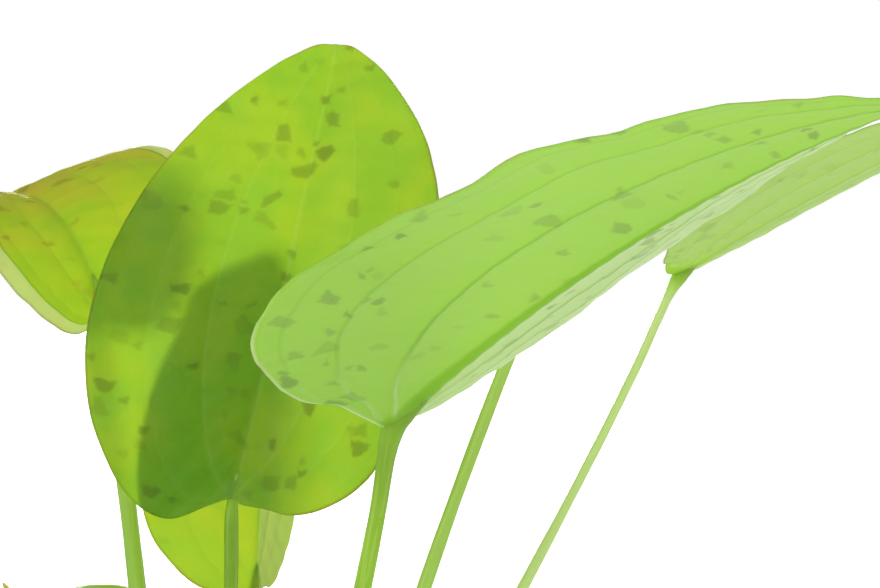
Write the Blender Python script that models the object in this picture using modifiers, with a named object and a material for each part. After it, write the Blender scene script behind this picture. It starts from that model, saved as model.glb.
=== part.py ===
# Amazon sword plant lifted with its roots: a rosette of long-stalked, heart-based leaves
# on a short crown, standing on its own mat of roots.
# Origin: middle of the flat underside of the root mat. +Z up. The tall leaf faces -Y.
# Lengths are written in millimetres and angles in degrees; MM turns lengths into metres.

from math import cos, radians, sin

import bmesh
import bpy
import numpy as np
from mathutils import Vector
from mathutils.geometry import interpolate_bezier

MM = 0.001

# ---- driving dimensions -------------------------------------------------------------

BLADE_THICKNESS = 0.5
BLADE_MERGE = 0.01             # mesh points closer than this become one
BLADE_STEPS_ALONG = 16         # mesh steps from the stalk to the tip
BLADE_STEPS_ACROSS = 8         # mesh steps from margin to margin
WIDEST = 0.385                 # half the width of a leaf, as a share of its length
LOBE_REACH = 0.08              # how far the lobes reach behind the stalk, same share
LOBE_LENGTH = 0.33             # length of margin that a shorter or longer lobe alters
LOBE_ROOT = 0.115              # width over which the lobe grows from the stalk

CLEARANCE = 0.4                # gap between neighbouring pieces
STALK_BASE_RADIUS = 2.2
STALK_POINTS = 9
STALK_UPRIGHT = 0.25           # how much steeper a stalk sets out than its chord
CROWN_TOP = 48.0
CROWN_STEPS = 24               # mesh steps round the crown
RING_RADII = (3.1, 8.2)        # the stalks stand in two rings on the crown
SEAT_GAP = 2.0                 # height of a stalk's foot over the crown, in its middle
SEAT_DROP = 0.03               # the crown's rounded top: drop for each square of the radius
ROOT_MAT_TOP = 35.2
ROOT_MAT_STEPS = 32            # mesh steps round the root mat

# Half sections of the turned pieces, down the outer side: (radius, height).
CROWN_PROFILE = (
    (0, CROWN_TOP), (5, 47.2), (9.5, 45), (12, 41.5), (12.4, 38), (10.5, ROOT_MAT_TOP + CLEARANCE),
    (0, ROOT_MAT_TOP + CLEARANCE),
)
ROOT_MAT_PROFILE = (
    (0, ROOT_MAT_TOP), (9, ROOT_MAT_TOP), (15, 31.5), (22, 26), (29, 18), (33.5, 9),
    (35.5, 3), (34.5, 0), (0, 0),
)

# One side of a flat leaf of length 1, from the stalk round the lobe to the tip:
# (distance along the midrib, distance from the midrib).
HALF_OUTLINE = (
    (0.0, 0.0), (-0.03, 0.045), (-0.072, 0.115), (-0.055, 0.196), (0.01, 0.27), (0.13, 0.345),
    (0.32, WIDEST), (0.55, 0.352), (0.75, 0.265), (0.9, 0.15), (0.985, 0.05), (1.0, 0.0),
)

# What a leaf has unless its own entry says otherwise.
PLAIN_LEAF = dict(
    left=0.9, right=0.9,              # width of each side beside the common outline
    lobe_left=0.6, lobe_right=0.6,    # reach of each lobe beside the common outline
    belly_left=0.0, belly_right=0.0,  # how far each side is drawn towards the tip
    arch=20, arch_power=1.5,          # bow of the midrib towards the underside
    sway=0, twist=0,                  # sideways bow and turn of the blade up to the tip
    fold_left=12, fold_right=12,      # rise of each side from the midrib
    curl_left=0, curl_right=0,        # further rise out to the margin
    wave_left=0.0, wave_right=0.0,    # height of the waves along each margin
    waves=3.0, phase=0.0,             # how many waves a margin has, and where they start
    radius=1.4,                       # stalk just below the blade
    arrive=None,                      # direction in which the stalk reaches the blade
)

# joint: where the stalk meets the blade. yaw, pitch: heading of the midrib there, yaw 0
# to +X and 90 to +Y. roll: turn about the midrib. ring, seat: place of the stalk on the crown.
LEAVES = {
    "tall": dict(
        joint=(0.2, 0, 174.4), yaw=41.5, pitch=71, roll=-33.5, length=100.5, left=0.97, right=1.0,
        lobe_left=1.04, lobe_right=0.3, belly_left=0.02, arch=12, sway=-7.5, fold_right=12.5,
        curl_left=-1, curl_right=8, wave_left=-0.2, wave_right=-1.2, phase=-0.13,
        arrive=(0, 0.1, 1), ring=0, seat=150,
    ),
    "front": dict(
        joint=(33, -50, 192), yaw=-40, pitch=33.5, roll=-1, length=122, left=1.02, right=1.05,
        lobe_left=0.54, lobe_right=-0.15, belly_right=-0.16, arch=18, sway=-2.5, twist=-1,
        fold_right=16, curl_left=1, curl_right=-6, wave_right=0.65, waves=2.7, phase=0.14,
        radius=1.6, arrive=(0.16, -0.3, 1), ring=1, seat=-65,
    ),
    "left": dict(
        joint=(-28, 30, 210.5), yaw=121, pitch=57, roll=15.5, length=90, left=0.66, right=0.91,
        lobe_left=0.61, lobe_right=1.0, belly_left=-0.04, belly_right=0.19, arch=85, arch_power=1.0,
        sway=-18.5, twist=2, fold_left=13, fold_right=18, curl_right=-14.5, radius=1.9,
        arrive=(-0.14, 0.15, 1), ring=1, seat=178,
    ),
    "back": dict(
        joint=(5.1, 6.9, 155.7), yaw=95, pitch=83, roll=-27.5, length=72.2, left=0.895, right=0.945,
        lobe_left=0.22, lobe_right=0.06, arch=16.5, arch_power=2, sway=14.5, twist=7.5, fold_left=-18,
        fold_right=-46, ring=1, seat=98,
    ),
    "right": dict(
        joint=(93.8, 60, 219.6), yaw=-18.5, pitch=29.5, roll=2.5, length=100, left=0.85, right=0.91,
        lobe_left=0.2, lobe_right=-0.1, arch=16.5, sway=27, fold_left=5, fold_right=5, radius=1.05,
        arrive=(0.46, 0.27, 1), ring=1, seat=14,
    ),
    "shaded": dict(
        joint=(62.4, 6, 221), yaw=15, pitch=31, roll=20, length=56, left=0.62, right=0.62,
        lobe_left=0.3, lobe_right=0.3, arch=10, radius=1.35, arrive=(0.41, 0, 1), ring=1, seat=-25,
    ),
    "low_left": dict(
        joint=(-16, 33, 117.6), yaw=150, pitch=70, roll=0, length=80, left=0.85, right=0.85,
        arch=130, arch_power=1.2, ring=1, seat=138,
    ),
    "far_left": dict(
        joint=(-29.6, -18, 90.7), yaw=196, pitch=84, roll=0, length=70, left=0.75, right=0.75,
        arch=12, ring=1, seat=218,
    ),
    "young": dict(
        joint=(9, -12, 84), yaw=-50, pitch=80, roll=0, length=52, left=0.42, right=0.42, lobe_left=0.2,
        lobe_right=0.2, arch=8, fold_left=38, fold_right=38, radius=1.1, ring=0, seat=-40,
    ),
    "low_front": dict(
        joint=(-4, -40, 98), yaw=-98, pitch=34, roll=0, length=80, left=0.88, right=0.88, arch=58,
        wave_left=1, wave_right=-1, ring=1, seat=-102,
    ),
    "low_back": dict(
        joint=(30, 40, 104), yaw=52, pitch=30, roll=0, length=84, left=0.86, right=0.86, arch=52,
        wave_left=-1, wave_right=1, ring=1, seat=56,
    ),
}

LEAF_GREEN = dict(colour=(0.36, 0.60, 0.09, 1), roughness=0.4)
STALK_GREEN = dict(colour=(0.42, 0.58, 0.13, 1), roughness=0.42)
CROWN_TAN = dict(colour=(0.42, 0.36, 0.20, 1), roughness=0.7)
ROOT_CREAM = dict(colour=(0.62, 0.52, 0.36, 1), roughness=0.8)


# ---- leaf geometry ------------------------------------------------------------------

def smooth_rail(points, steps=8):
    """Points of a Catmull-Rom curve through the given ones, and their share of its length."""
    p = np.array(points, float)
    p = np.vstack([2 * p[0] - p[1], p, 2 * p[-1] - p[-2]])
    x = (np.arange(steps) / steps)[:, None]
    runs = [
        0.5 * (2 * b + (c - a) * x + (2 * a - 5 * b + 4 * c - d) * x**2 + (3 * b - a - 3 * c + d) * x**3)
        for a, b, c, d in zip(p, p[1:], p[2:], p[3:])
    ]
    rail = np.vstack(runs + [p[-2:-1]])
    gone = np.concatenate([[0], np.cumsum(np.linalg.norm(np.diff(rail, axis=0), axis=1))])
    return gone / gone[-1], rail


OUTLINE_SHARE, OUTLINE_RAIL = smooth_rail(HALF_OUTLINE)


def eased(share):
    """0 to 1 with a soft start and end."""
    share = np.clip(share, 0, 1)
    return share * share * (3 - 2 * share)


def flat_leaf(u, v, leaf):
    """Place along and across the flat leaf. u runs 0..1 from stalk to tip along a vein,
    v runs -1..1 from the left margin over the midrib to the right margin."""
    def of_side(name):
        return np.where(v > 0, leaf[name + "_right"], leaf[name + "_left"])

    along = np.interp(u, OUTLINE_SHARE, OUTLINE_RAIL[:, 0])
    across = np.interp(u, OUTLINE_SHARE, OUTLINE_RAIL[:, 1])
    lobe = (1 - eased((along + LOBE_REACH) / LOBE_LENGTH)) * eased(across / LOBE_ROOT)
    along = along + (1 - of_side("lobe")) * LOBE_REACH * lobe + across * of_side("belly")
    share = np.abs(v)
    width = np.where(v > 0, leaf["right"], leaf["left"])
    return (1 - share) * u + share * along, v * across * width


def leaf_frame(leaf):
    """Heading, right-hand and upward directions of the blade where the stalk meets it."""
    yaw, pitch, roll = (radians(leaf[name]) for name in ("yaw", "pitch", "roll"))
    heading = np.array([cos(pitch) * cos(yaw), cos(pitch) * sin(yaw), sin(pitch)])
    level = np.array([sin(yaw), -cos(yaw), 0])
    above = np.cross(level, heading)
    right = cos(roll) * level + sin(roll) * above
    return heading, right, np.cross(right, heading)


def midrib(leaf, steps=60):
    """Points and directions along the bowed midrib, for shares 0..1 of its length."""
    heading, right, above = leaf_frame(leaf)
    share = np.linspace(0, 1, steps + 1)
    arch = np.radians(leaf["arch"]) * share ** leaf["arch_power"]
    sway = np.radians(leaf["sway"]) * share
    twist = np.radians(leaf["twist"]) * share

    def turned(a, b, angle):
        c, s = np.cos(angle)[:, None], np.sin(angle)[:, None]
        return c * a + s * b, c * b - s * a

    forward, up = turned(heading, -above, arch)
    forward, side = turned(forward, right, sway)
    side, up = turned(side, -up, twist)
    middle = (forward[1:] + forward[:-1]) / 2 * leaf["length"] / steps
    line = np.vstack([[0, 0, 0], np.cumsum(middle, axis=0)])
    return share, line, forward, side, up


def blade_points(u, v, leaf):
    """World places, in millimetres, of blade points given by u and v."""
    along, across = flat_leaf(u, v, leaf)
    share, *curves = midrib(leaf)
    place, forward, side, up = (
        np.stack([np.interp(np.clip(along, 0, 1), share, c[:, k]) for k in range(3)], -1)
        for c in curves
    )
    place += forward * np.minimum(along, 0)[:, None] * leaf["length"]
    reach = across * leaf["length"]
    outward = np.abs(across) / WIDEST
    fold = np.where(v > 0, leaf["fold_right"], leaf["fold_left"])
    curl = np.where(v > 0, leaf["curl_right"], leaf["curl_left"])
    rise = np.radians(fold + curl * outward / 2)
    wave = np.where(v > 0, leaf["wave_right"], leaf["wave_left"])
    wave = wave * np.sin(2 * np.pi * (leaf["waves"] * u + leaf["phase"])) * outward**2
    place += side * (reach * np.cos(rise))[:, None]
    place += up * (np.abs(reach) * np.sin(rise) + wave)[:, None]
    return place + np.array(leaf["joint"])


# ---- scene helpers ------------------------------------------------------------------

def clear_scene():
    for thing in list(bpy.data.objects):
        bpy.data.objects.remove(thing, do_unlink=True)


def make_material(name, look):
    material = bpy.data.materials.new(name)
    material.use_nodes = True
    shader = material.node_tree.nodes["Principled BSDF"]
    shader.inputs["Base Color"].default_value = look["colour"]
    shader.inputs["Roughness"].default_value = look["roughness"]
    shader.inputs["Metallic"].default_value = 0.0
    return material


def add_object(name, data, collection, material):
    thing = bpy.data.objects.new(name, data)
    collection.objects.link(thing)
    data.materials.append(material)
    return thing


# ---- pieces -------------------------------------------------------------------------

def add_blade(name, leaf, collection, material):
    """A thin curved leaf blade: a bent grid given thickness."""
    shape = bmesh.new()
    bmesh.ops.create_grid(shape, x_segments=BLADE_STEPS_ALONG, y_segments=BLADE_STEPS_ACROSS, size=1)
    grid = np.array([vertex.co for vertex in shape.verts])
    for vertex, place in zip(shape.verts, blade_points((grid[:, 0] + 1) / 2, grid[:, 1], leaf)):
        vertex.co = place * MM
    bmesh.ops.remove_doubles(shape, verts=shape.verts, dist=BLADE_MERGE * MM)
    mesh = bpy.data.meshes.new(name)
    shape.to_mesh(mesh)
    shape.free()
    mesh.shade_smooth()
    blade = add_object(name, mesh, collection, material)
    skin = blade.modifiers.new("thickness", "SOLIDIFY")
    skin.thickness = BLADE_THICKNESS * MM
    skin.offset = 0


def stalk_line(leaf):
    """Points of the stalk from its seat on the crown to just under the blade."""
    seat, ring = radians(leaf["seat"]), RING_RADII[leaf["ring"]]
    start = Vector((ring * cos(seat), ring * sin(seat), CROWN_TOP + SEAT_GAP - SEAT_DROP * ring**2))
    heading, _, above = (Vector(direction) for direction in leaf_frame(leaf))
    under = BLADE_THICKNESS / 2 + CLEARANCE + leaf["radius"]
    end = Vector(leaf["joint"]) - above * under - heading * leaf["radius"]
    arrive = Vector(leaf["arrive"] or end - start).normalized()
    span = (end - start).length
    rise = (end - start).normalized() + Vector((0, 0, STALK_UPRIGHT))
    return interpolate_bezier(
        start * MM, (start + rise * span / 3) * MM, (end - arrive * span / 3) * MM, end * MM, STALK_POINTS
    )


def add_stalk(name, leaf, collection, material):
    """A round leaf stalk that narrows from the crown to the blade."""
    curve = bpy.data.curves.new(name, "CURVE")
    curve.dimensions = "3D"
    curve.bevel_depth = MM
    curve.bevel_resolution = 2
    curve.use_fill_caps = True
    line = curve.splines.new("POLY")
    line.points.add(STALK_POINTS - 1)
    for number, (point, place) in enumerate(zip(line.points, stalk_line(leaf))):
        share = number / (STALK_POINTS - 1)
        point.co = (*place, 1)
        point.radius = STALK_BASE_RADIUS + (leaf["radius"] - STALK_BASE_RADIUS) * share
    add_object(name, curve, collection, material)


def add_turned(name, profile, steps, collection, material):
    """A turned piece from (radius, height) points that run down its outer side."""
    mesh = bpy.data.meshes.new(name)
    edges = [(number, number + 1) for number in range(len(profile) - 1)]
    mesh.from_pydata([(radius * MM, 0, height * MM) for radius, height in profile], edges, [])
    piece = add_object(name, mesh, collection, material)
    spin = piece.modifiers.new("turn", "SCREW")
    spin.steps = steps
    spin.render_steps = steps
    spin.use_merge_vertices = True
    spin.merge_threshold = 0.0001
    spin.use_smooth_shade = True


def main():
    clear_scene()
    plant = bpy.data.collections.new("amazon_sword_plant")
    bpy.context.scene.collection.children.link(plant)
    leaf_green = make_material("leaf_green", LEAF_GREEN)
    stalk_green = make_material("stalk_green", STALK_GREEN)
    crown_tan = make_material("crown_tan", CROWN_TAN)
    root_cream = make_material("root_cream", ROOT_CREAM)

    for name, own in LEAVES.items():
        leaf = {**PLAIN_LEAF, **own}
        add_blade("blade_" + name, leaf, plant, leaf_green)
        add_stalk("stalk_" + name, leaf, plant, stalk_green)

    add_turned("crown", CROWN_PROFILE, CROWN_STEPS, plant, crown_tan)
    add_turned("root_mat", ROOT_MAT_PROFILE, ROOT_MAT_STEPS, plant, root_cream)


main()
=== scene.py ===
from math import ceil, cos, pi, radians, sin

import bpy
import numpy as np
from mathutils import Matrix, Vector
from mathutils.geometry import interpolate_bezier


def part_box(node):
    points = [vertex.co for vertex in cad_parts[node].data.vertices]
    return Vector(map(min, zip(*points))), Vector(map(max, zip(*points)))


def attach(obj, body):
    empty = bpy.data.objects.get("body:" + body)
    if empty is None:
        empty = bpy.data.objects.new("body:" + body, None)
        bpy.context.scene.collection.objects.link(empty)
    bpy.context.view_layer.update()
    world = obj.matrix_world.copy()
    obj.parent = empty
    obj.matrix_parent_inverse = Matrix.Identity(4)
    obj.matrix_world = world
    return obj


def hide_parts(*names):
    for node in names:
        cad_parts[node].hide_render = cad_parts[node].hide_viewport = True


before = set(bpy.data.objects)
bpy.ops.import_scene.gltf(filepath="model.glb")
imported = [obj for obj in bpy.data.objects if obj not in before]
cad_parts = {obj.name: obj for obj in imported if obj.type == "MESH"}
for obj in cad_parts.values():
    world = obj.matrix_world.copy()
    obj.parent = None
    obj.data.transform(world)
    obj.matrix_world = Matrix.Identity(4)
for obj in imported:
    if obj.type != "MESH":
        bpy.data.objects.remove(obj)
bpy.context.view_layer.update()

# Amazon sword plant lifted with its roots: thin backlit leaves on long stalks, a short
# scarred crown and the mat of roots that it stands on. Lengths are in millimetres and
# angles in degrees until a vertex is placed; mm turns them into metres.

mm = 0.001
print("frame loaded:", len(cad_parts), "nodes")


# Camera and light, in metres.

view = dict(place=(0.042, -0.60, 0.215), lens=122.7, sensor=36, near=0.01)
light = dict(
    sky=1.0, sun=4.6, sunHeight=6, sunSide=1, sunSpread=18,  # the light from behind
    soft=5.0, softSize=0.7, softPlace=(-0.55, -0.75, 0.75), softAim=(0, 0, 0.19),
)


def setCamera():
    camera = bpy.data.objects.new("camera", bpy.data.cameras.new("camera"))
    bpy.context.scene.collection.objects.link(camera)
    camera.location = view["place"]
    camera.rotation_euler = (radians(90), 0, 0)
    camera.data.lens = view["lens"]
    camera.data.sensor_width = view["sensor"]
    camera.data.clip_start = view["near"]
    bpy.context.scene.camera = camera


def addLamp(name, kind, place, target, energy):
    lamp = bpy.data.objects.new(name, bpy.data.lights.new(name, kind))
    bpy.context.scene.collection.objects.link(lamp)
    lamp.location = place
    aim = Vector(target) - Vector(place)
    lamp.rotation_euler = aim.to_track_quat("-Z", "Y").to_euler()
    lamp.data.energy = energy
    return lamp


def setLight():
    scene = bpy.context.scene
    scene.view_settings.view_transform = "Standard"
    scene.world = bpy.data.worlds.new("white studio")
    scene.world.use_nodes = True
    sky = scene.world.node_tree.nodes["Background"]
    sky.inputs["Color"].default_value = (1, 1, 1, 1)
    sky.inputs["Strength"].default_value = light["sky"]
    height, turn = radians(light["sunHeight"]), radians(light["sunSide"])
    behind = (-sin(turn) * cos(height), cos(turn) * cos(height), sin(height))
    sun = addLamp("back light", "SUN", behind, (0, 0, 0), light["sun"])
    sun.data.angle = radians(light["sunSpread"])
    soft = addLamp("front softbox", "AREA", light["softPlace"], light["softAim"], light["soft"])
    soft.data.size = light["softSize"]


# Shader arithmetic: sums written with Wires add their own nodes.

class Wire:  # one shader socket; sums with it add Math nodes
    def __init__(self, finish, socket):
        self.finish = finish
        self.socket = socket

    def math(self, operation, *values):
        return self.finish.node("ShaderNodeMath", {"operation": operation}, dict(enumerate(values)))

    def __add__(self, other):
        return self.math("ADD", self, other)

    def __sub__(self, other):
        return self.math("SUBTRACT", self, other)

    def __rsub__(self, other):
        return self.math("SUBTRACT", other, self)

    def __mul__(self, other):
        return self.math("MULTIPLY", self, other)

    def __truediv__(self, other):
        return self.math("DIVIDE", self, other)

    def __abs__(self):
        return self.math("ABSOLUTE", self)

    def atLeast(self, other):
        return self.math("MAXIMUM", self, other)

    def atMost(self, other):
        return self.math("MINIMUM", self, other)

    __radd__ = __add__
    __rmul__ = __mul__


class Finish:  # one material while its nodes are being added
    def __init__(self, name):
        self.material = bpy.data.materials.new(name)
        self.material.use_nodes = True
        self.tree = self.material.node_tree
        self.tree.nodes.clear()

    def node(self, kind, settings=None, inputs=None, output=0):
        made = self.tree.nodes.new(kind)
        for name, value in (settings or {}).items():
            setattr(made, name, value)
        for key, value in (inputs or {}).items():
            if isinstance(value, Wire):
                self.tree.links.new(value.socket, made.inputs[key])
            else:
                made.inputs[key].default_value = value
        return Wire(self, made.outputs[output]) if made.outputs else None

    def attribute(self, name):
        return self.node("ShaderNodeAttribute", {"attribute_name": name}, output=1)

    def split(self, vector):
        apart = self.node("ShaderNodeSeparateXYZ", None, {0: vector})
        outputs = apart.socket.node.outputs
        return [Wire(self, socket) for socket in outputs]

    def join(self, x, y, z):
        return self.node("ShaderNodeCombineXYZ", None, {0: x, 1: y, 2: z})

    def stretched(self, vector, factors):
        return self.node("ShaderNodeVectorMath", {"operation": "MULTIPLY"}, {0: vector, 1: factors})

    def ragged(self, vector, scale, reach):  # shifts a place by noise, so that edges break up
        noise = self.node(
            "ShaderNodeTexNoise", None, {"Vector": vector, "Scale": scale, "Detail": 2.0}, output=1
        )
        centred = self.node("ShaderNodeVectorMath", {"operation": "SUBTRACT"}, {0: noise, 1: (0.5,) * 3})
        settings = {"operation": "MULTIPLY_ADD"}
        return self.node("ShaderNodeVectorMath", settings, {0: centred, 1: (2 * reach,) * 3, 2: vector})

    def noise(self, vector, scale, detail):
        return self.node("ShaderNodeTexNoise", None, {"Vector": vector, "Scale": scale, "Detail": detail})

    def cells(self, vector, scale, output=0, feature="F1", randomness=1.0, dimensions="3D"):
        settings = {"feature": feature, "voronoi_dimensions": dimensions}
        inputs = {"Vector": vector, "Scale": scale, "Randomness": randomness}
        return self.node("ShaderNodeTexVoronoi", settings, inputs, output)

    def step(self, value, low, high):  # 0 below low, 1 above high, eased between
        settings = {"interpolation_type": "SMOOTHSTEP"}
        return self.node("ShaderNodeMapRange", settings, {"Value": value, "From Min": low, "From Max": high})

    def blend(self, share, first, second, kind="MIX"):
        settings = {"data_type": "RGBA", "blend_type": kind}
        first, second = ((*tone, 1) if isinstance(tone, tuple) else tone for tone in (first, second))
        return self.node("ShaderNodeMix", settings, {0: share, 6: first, 7: second}, output=2)

    def paint(self, colour, *layers):  # each layer is a share and a colour laid over the last
        for share, tone in layers:
            colour = self.blend(share, colour, tone)
        return colour

    def bump(self, height, strength, distance):
        inputs = {"Height": height, "Strength": strength, "Distance": distance}
        return self.node("ShaderNodeBump", None, inputs)

    def mixShader(self, share, first, second):
        return self.node("ShaderNodeMixShader", None, {0: share, 1: first, 2: second})

    def glow(self, colour):  # light that comes through from behind
        return self.node("ShaderNodeBsdfTranslucent", None, {"Color": (*colour, 1)})

    def through(self, colour, *layers):  # the same for light from behind
        shader = self.glow(colour)
        for share, tone in layers:
            shader = self.mixShader(share, shader, self.glow(tone))
        return shader

    def skin(self, **inputs):
        named = {key.replace("_", " "): value for key, value in inputs.items()}
        return self.node("ShaderNodeBsdfPrincipled", None, named)

    def done(self, shader):
        self.node("ShaderNodeOutputMaterial", None, {"Surface": shader})
        return self.material


# Helpers for meshes.

def addGrid(name, stepsAlong, stepsAcross):  # a flat grid from -1 to 1 in X and Y, alone selected
    bpy.ops.object.select_all(action="DESELECT")
    bpy.ops.mesh.primitive_grid_add(x_subdivisions=stepsAlong, y_subdivisions=stepsAcross, size=2)
    piece = bpy.context.object
    piece.name = name
    piece.data.name = name
    return piece


def addSlab(name, stepsAlong, stepsAcross):  # the same grid closed, its two faces at 1 and -1 in Z
    piece = addGrid(name, stepsAlong, stepsAcross)
    skin = piece.modifiers.new("two faces", "SOLIDIFY")
    skin.thickness = 2
    skin.offset = 0
    bpy.ops.object.modifier_apply(modifier=skin.name)
    return piece


def placesOf(mesh):
    flat = np.empty(len(mesh.vertices) * 3)
    mesh.vertices.foreach_get("co", flat)
    return flat.reshape(-1, 3)


def putPlaces(mesh, places):
    mesh.vertices.foreach_set("co", np.ascontiguousarray(places, dtype=float).ravel())
    mesh.update()


def writeVector(mesh, name, columns):
    data = mesh.attributes.new(name, "FLOAT_VECTOR", "POINT").data
    data.foreach_set("vector", np.stack(columns, -1).astype(float).ravel())


def selectOnly(*pieces):
    bpy.ops.object.select_all(action="DESELECT")
    for piece in pieces:
        piece.select_set(True)
    bpy.context.view_layer.objects.active = pieces[0]


def closePiece(piece, material=None, gap=1e-6):  # merges doubles, turns faces outwards, smooths
    selectOnly(piece)
    bpy.ops.object.mode_set(mode="EDIT")
    bpy.ops.mesh.select_all(action="SELECT")
    bpy.ops.mesh.remove_doubles(threshold=gap)
    bpy.ops.mesh.normals_make_consistent(inside=False)
    bpy.ops.object.mode_set(mode="OBJECT")
    bpy.ops.object.shade_smooth()
    if material:
        piece.data.materials.append(material)


def joinPieces(pieces, name):
    selectOnly(*pieces)
    bpy.ops.object.join()
    whole = bpy.context.object
    whole.name = name
    whole.data.name = name
    return whole


def curveThrough(points, steps=8):  # a smooth line through the points, and its share of length
    p = np.array(points, float)
    p = np.vstack([2 * p[0] - p[1], p, 2 * p[-1] - p[-2]])
    x = (np.arange(steps) / steps)[:, None]
    runs = [
        0.5 * (2 * b + (c - a) * x + (2 * a - 5 * b + 4 * c - d) * x**2 + (3 * b - a - 3 * c + d) * x**3)
        for a, b, c, d in zip(p, p[1:], p[2:], p[3:])
    ]
    line = np.vstack(runs + [p[-2:-1]])
    gone = np.concatenate([[0], np.cumsum(np.linalg.norm(np.diff(line, axis=0), axis=1))])
    return gone / gone[-1], line


def alongLine(at, share, line):  # the points, or the directions, at these shares of a line
    return np.stack([np.interp(at, share, line[:, axis]) for axis in range(3)], -1)


def wayAlong(at, share, line, glance):  # points at these shares, and which way the line goes there
    back, places, ahead = (alongLine(at + step, share, line) for step in (-glance, 0, glance))
    forward = ahead - back
    return places, forward / np.linalg.norm(forward, axis=1)[:, None]


def bell(distance, width):  # 1 at 0, dying out past the width
    return np.exp(-((distance / width) ** 2))


def eased(share):
    share = np.clip(share, 0, 1)
    return share * share * (3 - 2 * share)


# Leaves: u runs along a blade and v across it.

blade = dict(
    stepsAlong=100, widestStep=0.055, veinSteps=(0.005, 0.012, 0.024, 0.04),
    even=0.45, bunched=0.55,  # shares of even steps and of steps bunched at the ends
    thickness=0.36, marginThickness=0.16, thinning=3,
    widest=0.385, lobeReach=0.08, lobeLength=0.33, lobeRoot=0.115,  # shares of the length
    laterals=(0.36, 0.68, 0.9),  # veins beside the midrib, as shares of the half width
    valley=0.45, valleyWidth=2.6,  # the upper side sinks along a vein
    midribValley=0.36, midribEase=1.2,  # and along the midrib, where the sides meet softly
    rib=0.26, ribWidth=0.42,  # raised vein on the underside
    veinGroove=0.35,  # its groove on top, as a share of the rib
    outerVeins=0.4, veinsToTip=0.6,  # how much weaker veins get outwards and to the tip
    quilt=0.07, quiltLength=5.0,  # swelling between the cross veins
    lane=0.34, laneShift=2.1,  # shifted from lane to lane
    ripple=0.28, rippleLength=19.0,  # slow unevenness of the whole blade
    rippleWaves=((1, 5.1, 2.3, 1), (1, -2.9, 3.3, 2), (0.6, 4.4, 7.7, 3)),
    frill=0.16, frillLength=15.0,  # small waves along the margin
    frillWaves=((1, 1, 2.6, 1), (0.5, 0.43, 0, 1.7)), frillPower=5,
    roomWidth=9.0, calmLength=0.2,  # relief starts from this half width, and share of the length
    keelFade=9.0,  # length of the keel's thick start
    keelDepth=(0.40, 0.42, 1.4, 0.06),  # keel at its start, along the blade with its taper, and
    keelWidth=(0.55, 0.75, 1.2, 0.12),  # everywhere, as shares of the stalk's radius
    keelRound=0.9,
    groove=0.16, grooveWidth=0.6,  # narrow groove over the midrib
    patternShift=7.3,  # moves the patterns on from one leaf to the next
)

# One side of a flat leaf of length 1, from the stalk round the lobe to the tip.
halfOutline = (
    (0.0, 0.0), (-0.03, 0.045), (-0.072, 0.115), (-0.055, 0.196), (0.01, 0.27), (0.13, 0.345),
    (0.32, 0.385), (0.55, 0.352), (0.75, 0.265), (0.9, 0.15), (0.985, 0.05), (1.0, 0.0),
)

plainLeaf = dict(
    left=0.9, right=0.9, lobeLeft=0.6, lobeRight=0.6,  # width and lobe of each side
    bellyLeft=0.0, bellyRight=0.0,  # how far each side is drawn towards the tip
    arch=20, archPower=1.5, sway=0,  # bow of the midrib to the underside and sideways
    roll=0, twist=0,  # turn of the blade at the stalk, and further to the tip
    foldLeft=12, foldRight=12, curlLeft=0, curlRight=0,  # rise of each side, and more at the margin
    waveLeft=0.0, waveRight=0.0, waves=3.0, phase=0.0,  # waves of each margin: height, number, start
    radius=1.4, ring=1, pale=0.0,  # stalk under the blade, its ring on the crown, its paleness
    arrive=None, runOn=12.0,  # how the stalk reaches the blade, and how far it runs on under it
    flare=0.0, flareReach=4.5,  # how it widens to the blade, and over what length
    veining=1.0, keel=1.0, unrest=1.0,  # strength of veins, of the keel, of ripples and frill
    bulges=(),  # (side, share of the length, growth, reach) along a margin
)

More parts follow.
